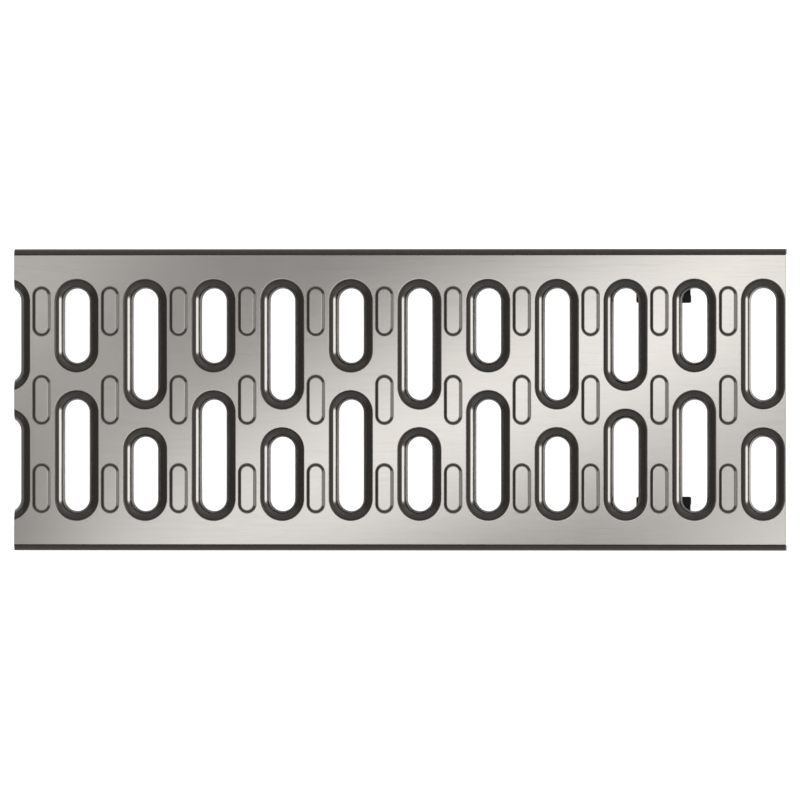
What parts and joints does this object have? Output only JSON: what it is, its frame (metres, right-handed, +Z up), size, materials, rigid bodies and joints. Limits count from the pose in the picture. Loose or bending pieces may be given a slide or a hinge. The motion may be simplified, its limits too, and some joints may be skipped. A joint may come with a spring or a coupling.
{
  "type": "channel drain grate",
  "caption": "Pressed stainless steel grate for a drain channel, sawn to length, with staggered collared slots, raised grip ribs, folded side skirts and black snap clips underneath.",
  "frame": {"origin": "middle of the grate's footprint, on the plane of the skirts' feet", "axes": "+X along the channel towards the end with the clips, +Y across it, +Z up out of the walking face"},
  "size_m": [0.3124, 0.122, 0.0207],
  "materials": {
    "sheet_steel": "satin, warm grey stainless steel",
    "clip_plastic": "matte black moulding"
  },
  "bodies": {
    "root": {"grate_sheet": "sheet_steel", "lock_clip_front": "clip_plastic", "lock_clip_rear": "clip_plastic"}
  },
  "joints": []
}
